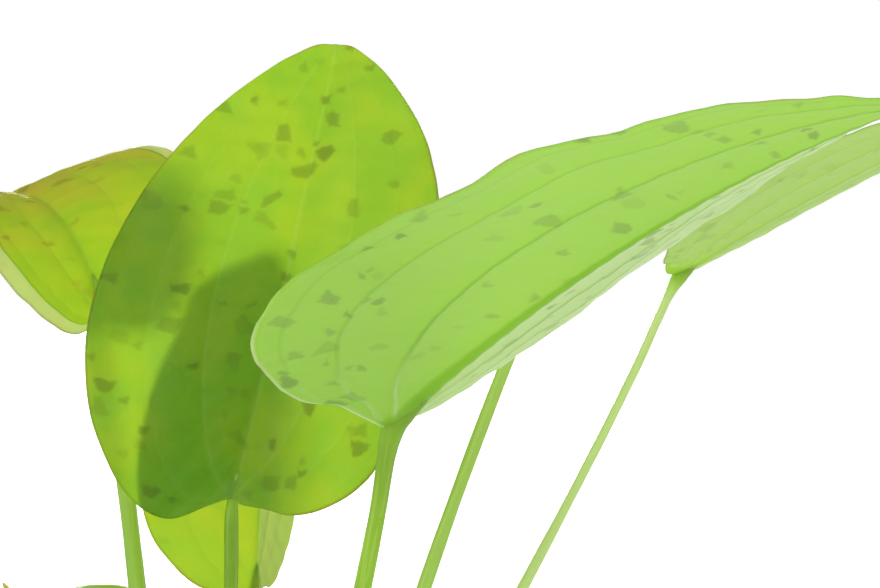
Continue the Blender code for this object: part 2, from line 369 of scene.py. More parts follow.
# The same leaves as in the part: joint is where the stalk meets the blade, yaw and pitch
# head the midrib there, roll turns it, ring and seat place the stalk on the crown.
leaves = {
    "tall": dict(
        joint=(0.2, 0, 174.4), yaw=41.5, pitch=71, roll=-33.5, length=100.5, left=0.97, right=1.0,
        lobeLeft=1.04, lobeRight=0.3, bellyLeft=0.02, arch=12, sway=-7.5, foldRight=12.5,
        curlLeft=-1, curlRight=8, waveLeft=-0.2, waveRight=-1.2, phase=-0.13,
        arrive=(0, 0.1, 1), ring=0, seat=150, veining=0.7, runOn=6, keel=0.7,
        bulges=((1, 0.22, 1.5, 0.09), (-1, 0.72, -0.7, 0.12), (1, 0.62, -0.5, 0.06), (-1, 0.86, -0.5, 0.05)),
    ),
    "front": dict(
        joint=(33, -50, 192), yaw=-40, pitch=33.5, roll=-1, length=122, left=1.02, right=1.05,
        lobeLeft=0.54, lobeRight=-0.15, bellyRight=-0.16, arch=18, sway=-2.5, twist=-1,
        foldRight=16, curlLeft=1, curlRight=-6, waveRight=0.65, waves=2.7, phase=0.14,
        radius=1.6, arrive=(0.16, -0.3, 1), seat=-65, veining=1.6, keel=1.3, runOn=13,
        flare=0.5,
        bulges=(
            (1, 0.675, 2.3, 0.035), (1, 0.75, -2.2, 0.04), (1, 0.845, 1.5, 0.018), (1, 0.9, -0.8, 0.02),
            (1, 0.56, 0.5, 0.04), (-1, 0.46, 0.8, 0.05), (1, 0.07, 2.2, 0.03),
        ),
    ),
    "left": dict(
        joint=(-28, 30, 210.5), yaw=121, pitch=57, roll=15.5, length=90, left=0.66, right=0.91,
        lobeLeft=0.61, lobeRight=1.0, bellyLeft=-0.04, bellyRight=0.19, arch=85, archPower=1.0,
        sway=-18.5, twist=2, foldLeft=13, foldRight=18, curlRight=-14.5, radius=1.9,
        arrive=(-0.14, 0.15, 1), seat=178, keel=0.6, pale=0.1,
    ),
    "back": dict(
        joint=(5.1, 6.9, 155.7), yaw=95, pitch=83, roll=-27.5, length=72.2, left=0.895, right=0.945,
        lobeLeft=0.22, lobeRight=0.06, arch=16.5, archPower=2, sway=14.5, twist=7.5, foldLeft=-18,
        foldRight=-46, seat=98, radius=1.1, keel=0.5, runOn=5, unrest=0.35,
        bulges=((-1, 0.85, 3.4, 0.09), (1, 0.9, 6.0, 0.1)),
    ),
    "right": dict(
        joint=(93.8, 60, 219.6), yaw=-18.5, pitch=29.5, roll=2.5, length=100, left=0.85, right=0.91,
        lobeLeft=0.2, lobeRight=-0.1, arch=16.5, sway=27, foldLeft=5, foldRight=5, radius=1.05,
        arrive=(0.46, 0.27, 1), seat=14, keel=0.8, flare=1.5, flareReach=3.4, pale=0.6,
        unrest=0.3, runOn=6, bulges=((1, 0.055, 3.2, 0.045), (1, 0.16, -2.2, 0.05), (-1, 0.07, 1.0, 0.05)),
    ),
    "shaded": dict(
        joint=(62.4, 6, 221), yaw=15, pitch=31, roll=20, length=56, left=0.62, right=0.62,
        lobeLeft=0.3, lobeRight=0.3, arch=10, radius=1.35, arrive=(0.41, 0, 1), seat=-25, pale=0.2,
    ),
    "low_left": dict(
        joint=(-16, 33, 117.6), yaw=150, pitch=70, length=80, left=0.85, right=0.85,
        arch=130, archPower=1.2, seat=138,
    ),
    "far_left": dict(
        joint=(-29.6, -18, 90.7), yaw=196, pitch=84, length=70, left=0.75, right=0.75,
        arch=12, seat=218,
    ),
    "young": dict(
        joint=(9, -12, 84), yaw=-50, pitch=80, length=52, left=0.42, right=0.42, lobeLeft=0.2,
        lobeRight=0.2, arch=8, foldLeft=38, foldRight=38, radius=1.1, ring=0, seat=-40,
    ),
    "low_front": dict(
        joint=(-4, -40, 98), yaw=-98, pitch=34, length=80, left=0.88, right=0.88, arch=58,
        waveLeft=1, waveRight=-1, seat=-102,
    ),
    "low_back": dict(
        joint=(30, 40, 104), yaw=52, pitch=30, length=84, left=0.86, right=0.86, arch=52,
        waveLeft=-1, waveRight=1, seat=56,
    ),
}

outlineShare, outlineLine = curveThrough(halfOutline)


def acrossRow():  # places of the grid lines from midrib to margin, close together at the veins
    row = {0.0, 1.0}
    for vein in (0.0, *blade["laterals"]):
        for gap in (0.0, *blade["veinSteps"]):
            row |= {round(abs(vein - gap), 4), round(min(vein + gap, 1.0), 4)}
    row = sorted(row)
    filled = [row[0]]
    for low, high in zip(row, row[1:]):
        steps = ceil((high - low) / blade["widestStep"])
        filled += [low + (high - low) * (number + 1) / steps for number in range(steps)]
    half = np.array(filled)
    return np.concatenate([-half[:0:-1], half])


def flatLeaf(u, v, leaf):  # u runs from stalk to tip along a vein, v from left to right margin
    def ofSide(name):
        return np.where(v > 0, leaf[name + "Right"], leaf[name + "Left"])

    along = np.interp(u, outlineShare, outlineLine[:, 0])
    across = np.interp(u, outlineShare, outlineLine[:, 1])
    lobe = (1 - eased((along + blade["lobeReach"]) / blade["lobeLength"])) * eased(across / blade["lobeRoot"])
    along = along + (1 - ofSide("lobe")) * blade["lobeReach"] * lobe + across * ofSide("belly")
    share = np.abs(v)
    half = across * np.where(v > 0, leaf["right"], leaf["left"])
    for side, place, growth, reach in leaf["bulges"]:
        swell = growth / leaf["length"] * bell(u - place, reach)
        half = half + np.where(v * side > 0, swell, 0) * share**2
    return (1 - share) * u + share * along, v * half, half


def leafFrame(leaf):
    yaw, pitch, roll = (radians(leaf[name]) for name in ("yaw", "pitch", "roll"))
    heading = np.array([cos(pitch) * cos(yaw), cos(pitch) * sin(yaw), sin(pitch)])
    level = np.array([sin(yaw), -cos(yaw), 0])
    above = np.cross(level, heading)
    right = cos(roll) * level + sin(roll) * above
    return heading, right, np.cross(right, heading)


def midribOf(leaf, steps=120):
    heading, right, above = leafFrame(leaf)
    share = np.linspace(0, 1, steps + 1)
    arch = np.radians(leaf["arch"]) * share ** leaf["archPower"]
    sway = np.radians(leaf["sway"]) * share
    twist = np.radians(leaf["twist"]) * share

    def turned(a, b, angle):
        c, s = np.cos(angle)[:, None], np.sin(angle)[:, None]
        return c * a + s * b, c * b - s * a

    forward, down = turned(heading, -above, arch)
    forward, side = turned(forward, right, sway)
    side, up = turned(side, -down, twist)
    middle = (forward[1:] + forward[:-1]) / 2 * leaf["length"] / steps
    line = np.vstack([[0, 0, 0], np.cumsum(middle, axis=0)])
    return share, line, forward, side, up


def keelSize(distance, leaf):  # depth and half width of the midrib's keel, from the stalk on
    start, toTip = np.exp(-distance / blade["keelFade"]), 1 - np.clip(distance / leaf["length"], 0, 1)
    return [
        leaf["radius"] * leaf["keel"] * (atStart * start + along * toTip**taper + least)
        for atStart, along, taper, least in (blade["keelDepth"], blade["keelWidth"])
    ]


def bladeShape(u, v, side, leaf, seed):  # side is 1 on the upper face and -1 on the underside
    along, across, half = flatLeaf(u, v, leaf)
    share, *curves = midribOf(leaf)
    place, forward, sideways, up = (alongLine(np.clip(along, 0, 1), share, curve) for curve in curves)
    length = leaf["length"]
    place += forward * np.minimum(along, 0)[:, None] * length
    reach, outward = across * length, np.abs(across) / blade["widest"]
    soft = reach / np.sqrt(reach**2 + blade["midribEase"])  # -1 to 1, eased over the midrib
    toRight = (1 + soft) / 2
    fold = leaf["foldLeft"] + (leaf["foldRight"] - leaf["foldLeft"]) * toRight
    curl = np.where(v > 0, leaf["curlRight"], leaf["curlLeft"])
    rise = np.radians(fold + curl * outward / 2)
    wave = np.where(v > 0, leaf["waveRight"], leaf["waveLeft"])
    wave = wave * np.sin(2 * pi * (leaf["waves"] * u + leaf["phase"])) * outward**2
    normal = up * np.cos(rise)[:, None] - sideways * (soft * np.sin(rise))[:, None]
    place += sideways * (reach * np.cos(rise))[:, None]
    place += up * (np.abs(reach * soft) * np.sin(rise) + wave)[:, None]

    # relief: valleys along the veins, quilting, slow ripples and a frilled margin
    from0, halfMm = np.abs(reach), half * length
    room = eased(halfMm / blade["roomWidth"])  # dies out where the blade is narrow
    lift = -blade["midribValley"] * bell(from0, blade["valleyWidth"])
    ribs = np.zeros_like(u)
    for number, vein in enumerate(blade["laterals"]):
        gap = (np.abs(v) - vein) * halfMm
        power = leaf["veining"] * (1 - blade["outerVeins"] * number) * (1 - blade["veinsToTip"] * u)
        lift -= blade["valley"] * power * bell(gap, blade["valleyWidth"])
        ribs += blade["rib"] * power * bell(gap, blade["ribWidth"])
    lane = np.floor(np.abs(v) / blade["lane"]) * blade["laneShift"] + seed
    lift += blade["quilt"] * np.sin(2 * pi * (u * length / blade["quiltLength"] + lane))
    x, y = reach / blade["rippleLength"], u * length / blade["rippleLength"]
    uneven = sum(
        size * np.sin(wide * x + long * y + own * seed)
        for size, wide, long, own in blade["rippleWaves"]
    )
    unrest = leaf["unrest"] * eased(u / blade["calmLength"])
    lift += blade["ripple"] * unrest * uneven * outward
    frill = sum(
        size * np.sin(2 * pi * u * length / (blade["frillLength"] * long) + apart * np.sign(v) + own * seed)
        for size, long, apart, own in blade["frillWaves"]
    )
    lift += blade["frill"] * unrest * frill * np.abs(v) ** blade["frillPower"]

    depth, width = keelSize(u * length, leaf)
    keel = depth * np.exp(-(from0 / width) ** 2 * blade["keelRound"])
    groove = blade["groove"] * bell(from0, blade["grooveWidth"]) + blade["veinGroove"] * ribs
    toMargin = np.abs(v) ** blade["thinning"]
    skin = blade["thickness"] + (blade["marginThickness"] - blade["thickness"]) * toMargin
    offset = room * lift + np.where(side > 0, skin / 2 - room * groove, -skin / 2 - keel - room * ribs)
    place += normal * offset[:, None]
    return place + np.array(leaf["joint"]), reach, along * length, from0 / width


def makeBlade(name, leaf, seed, material):
    row = acrossRow()
    piece = addSlab("leaf_" + name, blade["stepsAlong"], len(row) - 1)
    grid = placesOf(piece.data)
    step = (grid[:, 0] + 1) / 2
    u = blade["even"] * step + blade["bunched"] * (1 - np.cos(pi * step)) / 2
    v = -np.interp(grid[:, 1], np.linspace(-1, 1, len(row)), row)
    side = np.sign(grid[:, 2])
    places, reach, along, fromKeel = bladeShape(u, v, side, leaf, seed)
    putPlaces(piece.data, places * mm)
    shift = np.full_like(u, seed * blade["patternShift"])
    writeVector(piece.data, "leafPlace", (reach, along, shift))
    writeVector(piece.data, "leafVein", (u, v, (1 - side) / 2))
    writeVector(piece.data, "leafKeel", (fromKeel, np.sign(v), np.zeros_like(u)))
    closePiece(piece, material)
    return piece


# Colours of light through the leaf (glow) and from its face (skin), linear.
plainTint = dict(
    glow=(0.455, 0.595, 0.12), glowYellow=(0.52, 0.61, 0.11), glowVein=(0.54, 0.64, 0.19),
    glowBlotch=(0.355, 0.44, 0.09), glowRed=(0.50, 0.38, 0.16), glowRipe=(0.66, 0.585, 0.15),
    glowKeel=(0.30, 0.48, 0.05), glowPaintedFoldLight=(0.72, 0.78, 0.48),
    skin=(0.10, 0.33, 0.018), skinYellow=(0.20, 0.38, 0.02), skinVein=(0.28, 0.45, 0.09),
    skinBlotch=(0.11, 0.19, 0.025), skinRed=(0.36, 0.20, 0.06), skinRipe=(0.45, 0.37, 0.05),
    # The pale colour of the ribs near the stalk is a painted highlight on the ridges; further out the ribs
    # keep their own darker green.
    skinKeel=(0.12, 0.34, 0.012), skinRib=(0.19, 0.42, 0.04), paintedRibHighlight=(0.50, 0.74, 0.26),
    # The pale colour laid on the left half of an underside is painted sheen: that half is painted paler, as
    # it looks at a grazing angle.
    under=(0.30, 0.52, 0.13), underShare=0.6, paintedSheen=(0.62, 0.76, 0.40), paintedSheenLeft=0.0,
    # The pale band colour along the margin near the stalk, on the underside, is a painted highlight.
    paintedLobeSheen=(0.58, 0.74, 0.34), paintedLobeSheenShare=0.0, through=0.80, throughUnder=0.72, yellow=0.8, vein=0.35,
    ladder=0.06, keel=0.35, blotch=0.85, ripe=0.0, red=0.4, roughness=0.36,
    skinPaintedFoldLight=(0.52, 0.60, 0.32), paintedFoldLight=0.0,  # painted light: the stretch beyond a fold painted paler, as it shows lit from behind
    foldLightLeft=2.0, foldLightRight=2.0,  # where it starts on each side of the midrib
    foot=0.2, footReach=8.0,  # greener start of the blade at the stalk
)

tints = {
    "tall": dict(keel=0.12),
    "front": dict(
        under=(0.345, 0.655, 0.075), underShare=1.0, throughUnder=0.36, through=0.6, paintedSheenLeft=0.65,
        paintedSheen=(0.64, 0.78, 0.40), skinBlotch=(0.20, 0.36, 0.07), skinKeel=(0.22, 0.50, 0.012),
        keel=0.9, yellow=0.4, paintedLobeSheenShare=0.8, skinRed=(0.50, 0.42, 0.16),
    ),
    "left": dict(
        ripe=0.9, blotch=0.7, glowBlotch=(0.44, 0.36, 0.09), skinBlotch=(0.26, 0.15, 0.04),
        glow=(0.50, 0.62, 0.11), glowYellow=(0.57, 0.64, 0.11), through=0.90, paintedFoldLight=0.7,
        # painted light: this blade's margins beyond their folds are painted paler
        foldLightLeft=0.80, foldLightRight=0.90, glowPaintedFoldLight=(0.645, 0.68, 0.43),
    ),
    "back": dict(
        yellow=1.0, blotch=0.3, keel=0.5, glow=(0.50, 0.625, 0.14), glowYellow=(0.56, 0.635, 0.13),
        # painted light: this blade's half to the right of the midrib is painted paler
        glowPaintedFoldLight=(0.66, 0.75, 0.29), paintedFoldLight=0.75, foldLightRight=0.01, through=0.85,
    ),
    "right": dict(
        yellow=0.3, blotch=0.25, under=(0.46, 0.68, 0.18), underShare=0.9, throughUnder=0.5, keel=0.15,
        red=0.2, foot=1.0, footReach=15.0,
    ),
    "shaded": dict(yellow=0.4),
    "low_left": dict(yellow=0.9),
    "far_left": dict(ripe=0.8, yellow=0.9),
    "young": dict(ripe=0.35, red=0.8, blotch=1.0, yellow=1.0),
    "low_back": dict(yellow=0.5),
}

# Blotches come in two sizes of cell: cells to the millimetre across and along, and the
# share of the cells that is taken.
blotchSizes = dict(small=(0.34, 0.40, 0.075), large=(0.21, 0.26, 0.115))

# Marks on a blade: widths in mm, noises by scale and detail, and edges by from and to.
marks = dict(
    blotchBreak=(0.5, 0.9), blotchOrder=0.72, blotchEdge=(0.1, 1.1), blotchLeast=0.25,
    crowd=(0.06, 1.0), crowdPower=0.3, luckEdge=0.01,
    midrib=0.15, midribAtTip=0.35, midribGrowth=1.2,
    lateral=(0.1, 0.65), lateralToTip=0.4, lateralPower=1.4, lateralOutwards=1.2,
    rungBreak=(4.0, 0.02), rungs=(24, 5.0, 1), rungWidth=0.09,
    keelEdge=(0.8, 1.5), sideEdge=(-0.1, 0.1), ribShare=0.8, footToRib=(0.10, 0.28),
    mottle=(0.085, 3.0), mottleEdge=(0.36, 0.68),
    ageing=(0.06, 3.0), ageingSpread=0.9, ageingEdge=(0.18, 0.95),
    blushWidth=(0.1, 0.6), blush=(0.05, 2.0), blushEdge=(0.46, 0.62),
    rimWidth=(0.25, 0.8), rimAlong=(0.25, 0.45), rimCover=0.2, footStart=0.4,
    # the wobble and edge of the painted light beyond a fold, and the strength of the painted shade along its
    # crease
    waver=(0.12, 1.0), waverReach=0.08, foldLightEdge=0.035, paintedCreaseShade=3,
    grain=(1.6, 3.0), grainHeight=0.4, ladderHeight=0.4, grainRough=0.2, blotchRough=0.06,
    bump=(0.3, 0.0002), index=1.42,
)


def leafFinish(name, tint):
    f, m = Finish("leaf_" + name), marks
    place, vein = f.attribute("leafPlace"), f.attribute("leafVein")
    x, y, seed = f.split(place)
    u, v, under = f.split(vein)
    side = abs(v)
    half = abs(x) / side.atLeast(0.02)  # half width of the blade here

    # angular blotches: whole cells of two sizes, more of them in some parts of the leaf
    blotch = None
    for across, along, share in blotchSizes.values():
        shifted = f.ragged(f.join(x + seed, y + seed, 0.0), *m["blotchBreak"])
        cellPlace = f.stretched(shifted, (across, along, 1))
        flat = dict(randomness=m["blotchOrder"], dimensions="2D")
        luck, strength, _ = f.split(f.cells(cellPlace, 1.0, output=1, **flat))
        heart = f.stretched(f.cells(cellPlace, 1.0, output=2, **flat), (1 / across, 1 / along, 1))
        crowd = f.noise(heart, *m["crowd"]) - 0.5
        fromEdge = f.cells(cellPlace, 1.0, feature="DISTANCE_TO_EDGE", **flat)
        least, soft = 1 - share, m["luckEdge"]
        taken = f.step(luck + crowd * m["crowdPower"], least - soft, least + soft)
        inside = f.step(fromEdge, *(across * reach for reach in m["blotchEdge"]))
        spot = taken * inside * (m["blotchLeast"] + strength * (1 - m["blotchLeast"]))
        blotch = spot if blotch is None else blotch.atLeast(spot)

    # veins, ladder of cross veins, fine net
    midrib = 1 - f.step(abs(x), m["midrib"], (1 - u) * m["midribGrowth"] + m["midribAtTip"])
    laterals = None
    for lateral in blade["laterals"]:
        gap = abs(side - lateral) * half
        power = m["lateralPower"] - lateral * m["lateralOutwards"]
        line = (1 - f.step(gap, *m["lateral"])) * (1 - u * m["lateralToTip"]) * power
        laterals = line if laterals is None else laterals.atLeast(line)
    rungs = f.stretched(f.ragged(vein, *m["rungBreak"]), m["rungs"])
    ladder = 1 - f.step(f.cells(rungs, 1.0, feature="DISTANCE_TO_EDGE"), 0.0, m["rungWidth"])
    paleLines = midrib.atLeast(laterals) * (1 - under)
    veins = (paleLines * tint["vein"]).atLeast(ladder * tint["ladder"]).atMost(1.0)
    fromKeel, onRight, _ = f.split(f.attribute("leafKeel"))
    keel = (1 - f.step(fromKeel, *m["keelEdge"])) * under * tint["keel"]
    ribs = laterals * under * tint["keel"]
    # painted sheen: the left half of an underside painted paler, as at a grazing angle
    paintedSheen = (1 - f.step(onRight, *m["sideEdge"])) * under * tint["paintedSheenLeft"]

    # slow changes of colour
    mottle = f.step(f.noise(place, *m["mottle"]), *m["mottleEdge"])
    older = u + (f.noise(place, *m["ageing"]) - 0.5) * m["ageingSpread"]
    ageing = f.step(older, *m["ageingEdge"]) * tint["ripe"]
    margin = (1 - side) * half
    patches = f.step(f.noise(place, *m["blush"]), *m["blushEdge"])
    blush = (1 - f.step(margin, *m["blushWidth"])) * patches * tint["red"]
    # painted highlight: a thin pale band along the margin near the stalk, on the underside
    paintedLobeSheen = (1 - f.step(margin, *m["rimWidth"])) * (1 - f.step(u, *m["rimAlong"]))
    paintedLobeSheen = paintedLobeSheen * under * tint["paintedLobeSheenShare"]

    foot = 1 - f.step(y + abs(x), tint["footReach"] * m["footStart"], tint["footReach"])
    foot = foot * tint["foot"]
    # ribs near the stalk painted pale, a painted highlight on the ridges, then their own darker green further
    # out
    ribTone = f.blend(f.step(u, *m["footToRib"]), tint["paintedRibHighlight"], tint["skinRib"])
    fromBehind = [
        (mottle * tint["yellow"], tint["glowYellow"]), (ageing, tint["glowRipe"]), (veins, tint["glowVein"]),
        (blotch * tint["blotch"], tint["glowBlotch"]), (blush, tint["glowRed"]),
        (keel.atLeast(ribs * m["ribShare"]), tint["glowKeel"]), (foot, stalkTint["glowNeck"]),
    ]
    onFace = [
        (mottle * tint["yellow"], tint["skinYellow"]), (under * tint["underShare"], tint["under"]),
        (paintedSheen, tint["paintedSheen"]), (ageing, tint["skinRipe"]), (veins, tint["skinVein"]),
        (ribs * m["ribShare"], ribTone), (blotch * tint["blotch"], tint["skinBlotch"]),
        (blush, tint["skinRed"]), (keel, tint["skinKeel"]), (foot, stalkTint["neck"]), (paintedLobeSheen, tint["paintedLobeSheen"]),
    ]
    # painted light: the stretch beyond a fold painted paler; painted shade: a dark line along the fold's
    # crease
    if tint["paintedFoldLight"]:
        waver = (f.noise(place, *m["waver"]) - 0.5) * m["waverReach"]
        onRightSide = f.step(v + waver, tint["foldLightRight"], tint["foldLightRight"] + m["foldLightEdge"])
        onLeftSide = f.step(waver - v, tint["foldLightLeft"], tint["foldLightLeft"] + m["foldLightEdge"])
        beyond = onRightSide.atLeast(onLeftSide)
        foldLitPainted, paintedCreaseShade = beyond * tint["paintedFoldLight"], beyond * (1 - beyond) * m["paintedCreaseShade"]
        fromBehind += [(foldLitPainted, tint["glowPaintedFoldLight"]), (paintedCreaseShade, tint["glowKeel"])]
        onFace += [(foldLitPainted, tint["skinPaintedFoldLight"]), (paintedCreaseShade, tint["skinKeel"])]
    glow, skin = f.through(tint["glow"], *fromBehind), f.paint(tint["skin"], *onFace)
    grain = f.noise(place, *m["grain"])
    height = grain * m["grainHeight"] - ladder * m["ladderHeight"]
    rough = tint["roughness"] + (grain - 0.5) * m["grainRough"] + blotch * m["blotchRough"]
    face = f.skin(Base_Color=skin, Roughness=rough, Normal=f.bump(height, *m["bump"]), IOR=m["index"])
    through = tint["through"] - under * (tint["through"] - tint["throughUnder"]) - paintedLobeSheen * m["rimCover"]
    return f.done(f.mixShader(through, face, glow))


# Stalks, each from its seat on the crown to just under its blade.

stalk = dict(
    baseRadius=2.2, crownTop=48.0, ringRadii=(3.1, 8.2), clearance=0.65,
    seatGap=2.0, seatDrop=0.03, upright=0.25,  # foot on the crown, as in the part
    foot=4.0, footRound=1.2,  # how far it reaches down into the crown
    stepsAlong=72, stepsAround=22, sheath=1.45, sheathLength=13.0, taperTo=1.15,
    curveSteps=22, smooth=6, glance=0.004,  # its middle line, and how its way is read
    underSteps=4, firstUnder=4.0, underDepth=(0.45, 1.3, 0.25),  # under the midrib
    endLength=4, endPower=0.55,  # how it thins out there
    ridges=9, ridge=0.045, ridgeEnd=12, channel=0.16, channelWidth=1 / 9,
    uneven=0.03, unevenLengths=(9, 3.7), patternShift=5.1,
)


def stalkPath(leaf):  # from the crown to the blade, and on under the midrib
    seat, ring = radians(leaf["seat"]), stalk["ringRadii"][leaf["ring"]]
    start = Vector((ring * cos(seat), ring * sin(seat), stalk["crownTop"]))
    start.z += stalk["seatGap"] - stalk["seatDrop"] * ring**2
    heading, _, above = (Vector(direction) for direction in leafFrame(leaf))
    end = Vector(leaf["joint"]) - above * (stalk["clearance"] + leaf["radius"]) - heading * leaf["radius"]
    arrive = Vector(leaf["arrive"] or end - start).normalized()
    span = (end - start).length
    rise = (end - start).normalized() + Vector((0, 0, stalk["upright"]))
    handles = start + rise * span / 3, end - arrive * span / 3
    points = interpolate_bezier(start, *handles, end, stalk["curveSteps"])
    share, line, _, _, up = midribOf(leaf)
    joint = np.array(leaf["joint"])
    deep, atFirst, least = stalk["underDepth"]
    for reach in np.linspace(stalk["firstUnder"], leaf["runOn"], stalk["underSteps"]):
        middle, over = (alongLine(reach / leaf["length"], share, curve) for curve in (line, up))
        depth = deep * leaf["radius"] * (atFirst - reach / leaf["runOn"]) + least
        points.append(Vector(joint + middle - over * depth))
    down = (points[1] - points[0]).normalized() * stalk["foot"]
    return np.array([points[0] - down, *points[:-6], *points[-5:]])  # less one, for a round bend


def tubePlaces(path, radii, around, along, firstSide):  # rings round a path, in its turning frame
    places, forward = wayAlong(along, *curveThrough(path, stalk["smooth"]), stalk["glance"])
    side = firstSide - forward * (forward @ firstSide)[:, None]
    side /= np.linalg.norm(side, axis=1)[:, None]
    other = np.cross(forward, side)
    angle = 2 * pi * around
    return places + (side * np.cos(angle)[:, None] + other * np.sin(angle)[:, None]) * radii[:, None]


def makeStalk(name, leaf, seed, material):
    piece = addGrid("stem_" + name, stalk["stepsAlong"], stalk["stepsAround"])
    grid = placesOf(piece.data)
    along, around = (grid[:, 0] + 1) / 2, (grid[:, 1] + 1) / 2
    path = stalkPath(leaf)
    length = np.linalg.norm(np.diff(path, axis=0), axis=1).sum()
    gone = along * length
    radii = stalk["baseRadius"] + (leaf["radius"] - stalk["baseRadius"]) * eased(along * stalk["taperTo"])
    radii *= 1 + (stalk["sheath"] - 1) * bell(gone, stalk["sheathLength"])
    toEnd = length - gone
    radii *= np.clip(toEnd / (leaf["runOn"] + stalk["endLength"]), 0, 1) ** stalk["endPower"]
    toBlade = toEnd - leaf["runOn"]
    radii *= 1 + leaf["flare"] * bell(np.maximum(toBlade + 1, 0), leaf["flareReach"])
    radii *= np.sqrt(np.clip(gone / stalk["footRound"], 0, 1))
    ridges = np.cos(stalk["ridges"] * 2 * pi * around + seed)
    radii *= 1 + stalk["ridge"] * ridges * eased(toEnd / stalk["ridgeEnd"])
    radii *= 1 - stalk["channel"] * bell(around - 0.5, stalk["channelWidth"])
    slow, quick = (
        np.sin(gone / wave + own * seed) for wave, own in zip(stalk["unevenLengths"], (1, 2))
    )
    radii *= 1 + stalk["uneven"] * (slow + quick * 2 / 3)
    seat = radians(leaf["seat"])
    outward = np.array([cos(seat), sin(seat), 0.0])
    putPlaces(piece.data, tubePlaces(path, radii, around, along, outward) * mm)
    girth = 2 * pi * leaf["radius"]
    shift = np.full_like(gone, seed * stalk["patternShift"])
    writeVector(piece.data, "stalkPlace", (around * girth, gone, shift))
    writeVector(piece.data, "stalkShare", (along, around, toBlade))
    writeVector(piece.data, "stalkPale", (np.full_like(gone, leaf["pale"]),) * 3)
    closePiece(piece, material)
    return piece


stalkTint = dict(
    glow=(0.52, 0.69, 0.15), glowLine=(0.64, 0.76, 0.32), skin=(0.20, 0.36, 0.035),
    skinLine=(0.38, 0.52, 0.14), base=(0.56, 0.54, 0.30), pale=(0.72, 0.80, 0.50),
    neck=(0.35, 0.58, 0.06), glowNeck=(0.48, 0.66, 0.13), neckReach=7.0,
    through=0.6, roughness=0.34,
)

# Marks on a stalk: noises are stretched, and edges go from and to.
stalkMarks = dict(
    threads=(1.6, 0.05, 1), threadEdge=(0.50, 0.64), threadShare=0.6,
    seam=(0.012, 0.035), seamShare=0.5, foot=(0.02, 0.16), neck=0.9,
    cloud=(0.16, 3.0), cloudFrom=0.35, cloudShare=0.7, lineGlow=0.8, footGlow=0.3, footCover=0.25,
    grain=(2.4, 0.35, 1), detail=3.0, grainRough=0.25, lineHeight=0.4,
)


def stalkFinish(name, tint):
    f, m = Finish(name), stalkMarks
    place, share = f.attribute("stalkPlace"), f.attribute("stalkShare")
    along, around, toBlade = f.split(share)
    pale = f.split(f.attribute("stalkPale"))[0]
    threads = f.noise(f.stretched(place, m["threads"]), 1.0, m["detail"])
    seam = 1 - f.step(abs(around - 0.5), *m["seam"])
    lines = f.step(threads, *m["threadEdge"]) * m["threadShare"] + seam * m["seamShare"]
    foot = 1 - f.step(along, *m["foot"])
    neck = (1 - f.step(toBlade, 0.0, tint["neckReach"])) * m["neck"]
    cloud = (f.noise(place, *m["cloud"]) - m["cloudFrom"]).atLeast(0.0) * m["cloudShare"]
    skin = f.blend(lines.atMost(1.0), tint["skin"], tint["skinLine"])
    skin = f.blend(cloud, skin, tint["glow"], "MULTIPLY")
    skin = f.paint(skin, (pale, tint["pale"]), (foot, tint["base"]), (neck, tint["neck"]))
    lit = (lines * m["lineGlow"] + foot * m["footGlow"]).atMost(1.0)
    glow = f.through(tint["glow"], (lit, tint["glowLine"]), (pale, tint["pale"]), (neck, tint["glowNeck"]))
    grain = f.noise(f.stretched(place, m["grain"]), 1.0, m["detail"])
    face = f.skin(
        Base_Color=skin, Roughness=tint["roughness"] + (grain - 0.5) * m["grainRough"],
        Normal=f.bump(grain + lines * m["lineHeight"], *marks["bump"]), IOR=marks["index"],
    )
    return f.done(f.mixShader(tint["through"] - foot * m["footCover"], face, glow))


# Crown: a short rootstock with leaf scars and the papery feet of old stalks.

crown = dict(
    stepsUp=40, stepsRound=64, belly=0.45, taper=0.18, sunk=2.5,
    scars=7, scarDepth=0.035, scarWave=0.35,  # rings left by old leaves
    knobs=0.07, knobWaves=((5, 9, 0), (8, -7, 1), (13, 21, 0)),
)

# Old sheaths: pairs are the ends of random draws.
oldSheaths = dict(
    seed=11, count=15, steps=(12, 8), turn=2.399, turns=(-0.2, 0.2), halfThickness=0.16,
    length=15.0, lengths=(0.55, 1.1), width=7.0, widths=(0.7, 1.1), taper=(0.75, 1.6),
    torn=0.14, tears=7, leans=(0.05, 0.34), leanPower=1.5, inset=0.72, gap=1.0,
    drop=7.5, drops=(-3.5, 1.5),
)


def makeCrown(material):
    low, high = (np.array(corner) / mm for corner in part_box("crown"))
    radius, height = (high[0] - low[0]) / 2, high[2] - low[2]
    piece = addGrid("crown_core", crown["stepsUp"], crown["stepsRound"])
    grid = placesOf(piece.data)
    up, angle = (grid[:, 0] + 1) / 2, pi * (grid[:, 1] + 1)
    belly = np.sin(pi * np.clip(up, 0, 1)) ** crown["belly"]
    ring = radius * belly * (1 - crown["taper"] * up)
    scars = np.sin(2 * pi * (crown["scars"] * up + crown["scarWave"] * np.sin(2 * angle)))
    knobs = sum(np.sin(turns * angle + rise * up + shift) for turns, rise, shift in crown["knobWaves"])
    ring *= 1 + crown["scarDepth"] * scars + crown["knobs"] * knobs / 3
    z = low[2] - crown["sunk"] + (height + crown["sunk"]) * up
    putPlaces(piece.data, np.stack([ring * np.cos(angle), ring * np.sin(angle), z], -1) * mm)
    closePiece(piece, material)
    return piece


